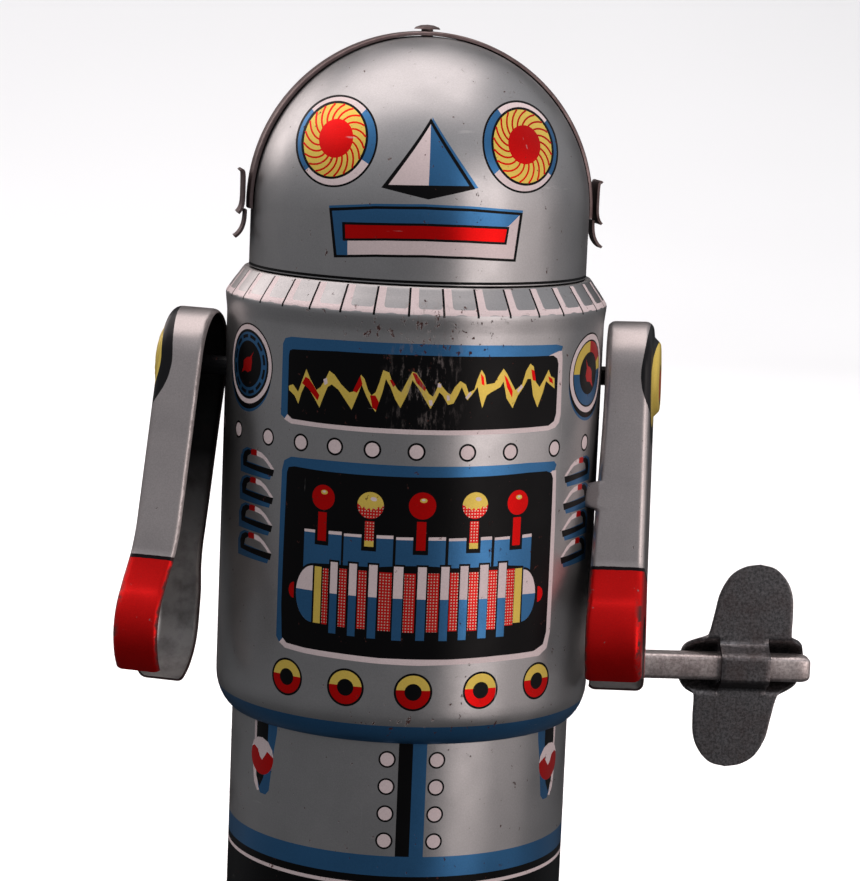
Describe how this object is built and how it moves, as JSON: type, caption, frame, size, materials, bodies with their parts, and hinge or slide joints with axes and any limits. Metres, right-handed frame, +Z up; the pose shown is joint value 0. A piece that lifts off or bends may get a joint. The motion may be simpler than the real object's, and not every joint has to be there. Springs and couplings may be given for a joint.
{
  "type": "wind-up tin robot toy",
  "caption": "Pressed-tin clockwork walking robot: domed head on a printed drum body, open channel arms with claws, side key, spring motor and two sliding feet.",
  "frame": {"origin": "on the body's upright axis, in the plane of the soles", "axes": "+Z up, the robot faces -Y, its left hand and the key are at +X"},
  "size_m": [0.1062, 0.0623, 0.1527],
  "materials": {
    "lithographed_tin": "satin varnished print on tin",
    "plain_tin": "dull tin plate",
    "rusty_tin": "dark oxidised tin",
    "black_tin": "satin black enamel",
    "key_steel": "dark oxidised steel",
    "spring_steel": "blued steel",
    "brass": "satin"
  },
  "bodies": {
    "frame": {"head_shell": "lithographed_tin", "head_band": "rusty_tin", "crown_rivet": "rusty_tin", "left_ear_clip": "rusty_tin", "right_ear_clip": "rusty_tin", "body_shell": "lithographed_tin", "leg_shell": "lithographed_tin", "base_plate": "plain_tin", "left_motor_plate": "plain_tin", "right_motor_plate": "plain_tin", "front_lower_pillar": "plain_tin", "rear_lower_pillar": "plain_tin", "front_upper_pillar": "plain_tin", "rear_upper_pillar": "plain_tin", "mainspring": "spring_steel"},
    "great_wheel": {"great_wheel": "brass"},
    "key": {"key_rod": "key_steel", "key_wing": "key_steel", "key_collar": "brass", "winding_arbor": "spring_steel", "ratchet_wheel": "spring_steel"},
    "click": {"click": "spring_steel"},
    "crank": {"crank_arbor": "spring_steel", "crank_pinion": "brass", "second_wheel": "brass", "left_crank": "spring_steel", "right_crank": "spring_steel", "left_crank_pin": "spring_steel", "right_crank_pin": "spring_steel"},
    "escape": {"escape_arbor": "spring_steel", "escape_pinion": "brass", "escape_wheel": "brass"},
    "pallet": {"pallet": "brass", "pallet_arbor": "spring_steel"},
    "left_foot": {"left_foot": "black_tin", "left_sole": "plain_tin", "left_foot_yoke": "plain_tin"},
    "right_foot": {"right_foot": "black_tin", "right_sole": "plain_tin", "right_foot_yoke": "plain_tin"},
    "left_arm": {"left_arm": "lithographed_tin", "left_shoulder_stud": "plain_tin", "left_stud_washer": "plain_tin"},
    "right_arm": {"right_arm": "lithographed_tin", "right_shoulder_stud": "plain_tin", "right_stud_washer": "plain_tin"}
  },
  "joints": [
    {"name": "great_wheel_turn", "type": "hinge", "parent": "frame", "child": "great_wheel", "pos_m": [0, 0, 0.0545], "axis": [1, 0, 0], "continuous": true},
    {"name": "key_wind", "type": "hinge", "parent": "great_wheel", "child": "key", "pos_m": [0, 0, 0.0545], "axis": [1, 0, 0], "continuous": true},
    {"name": "click_lift", "type": "hinge", "parent": "great_wheel", "child": "click", "pos_m": [0.0063, 0.006, 0.0605], "axis": [1, 0, 0], "range_deg": [-15, 0]},
    {"name": "crank_turn", "type": "hinge", "parent": "frame", "child": "crank", "pos_m": [0, 0, 0.0384], "axis": [1, 0, 0], "continuous": true},
    {"name": "escape_turn", "type": "hinge", "parent": "frame", "child": "escape", "pos_m": [0, -0.00849, 0.02991], "axis": [1, 0, 0], "continuous": true},
    {"name": "pallet_rock", "type": "hinge", "parent": "frame", "child": "pallet", "pos_m": [0, -0.00849, 0.02171], "axis": [1, 0, 0], "range_deg": [-8, 8]},
    {"name": "left_foot_slide", "type": "slide", "parent": "frame", "child": "left_foot", "axis": [0, -1, 0], "range_m": [-0.004, 0.004]},
    {"name": "right_foot_slide", "type": "slide", "parent": "frame", "child": "right_foot", "axis": [0, -1, 0], "range_m": [-0.004, 0.004]},
    {"name": "left_arm_swing", "type": "hinge", "parent": "frame", "child": "left_arm", "pos_m": [0.0373, 0, 0.1], "axis": [0.9777, -0.2078, 0.0314], "range_deg": [-70, 2.5]},
    {"name": "right_arm_swing", "type": "hinge", "parent": "frame", "child": "right_arm", "pos_m": [-0.0374, 0, 0.1], "axis": [0.972, -0.2334, -0.0279], "range_deg": [-70, 25]}
  ],
  "couplings": [
    {"joint": "crank_turn", "follows": "great_wheel_turn", "ratio": -3.6},
    {"joint": "escape_turn", "follows": "great_wheel_turn", "ratio": 10.8},
    {"joint": "right_foot_slide", "follows": "left_foot_slide", "ratio": -1}
  ]
}
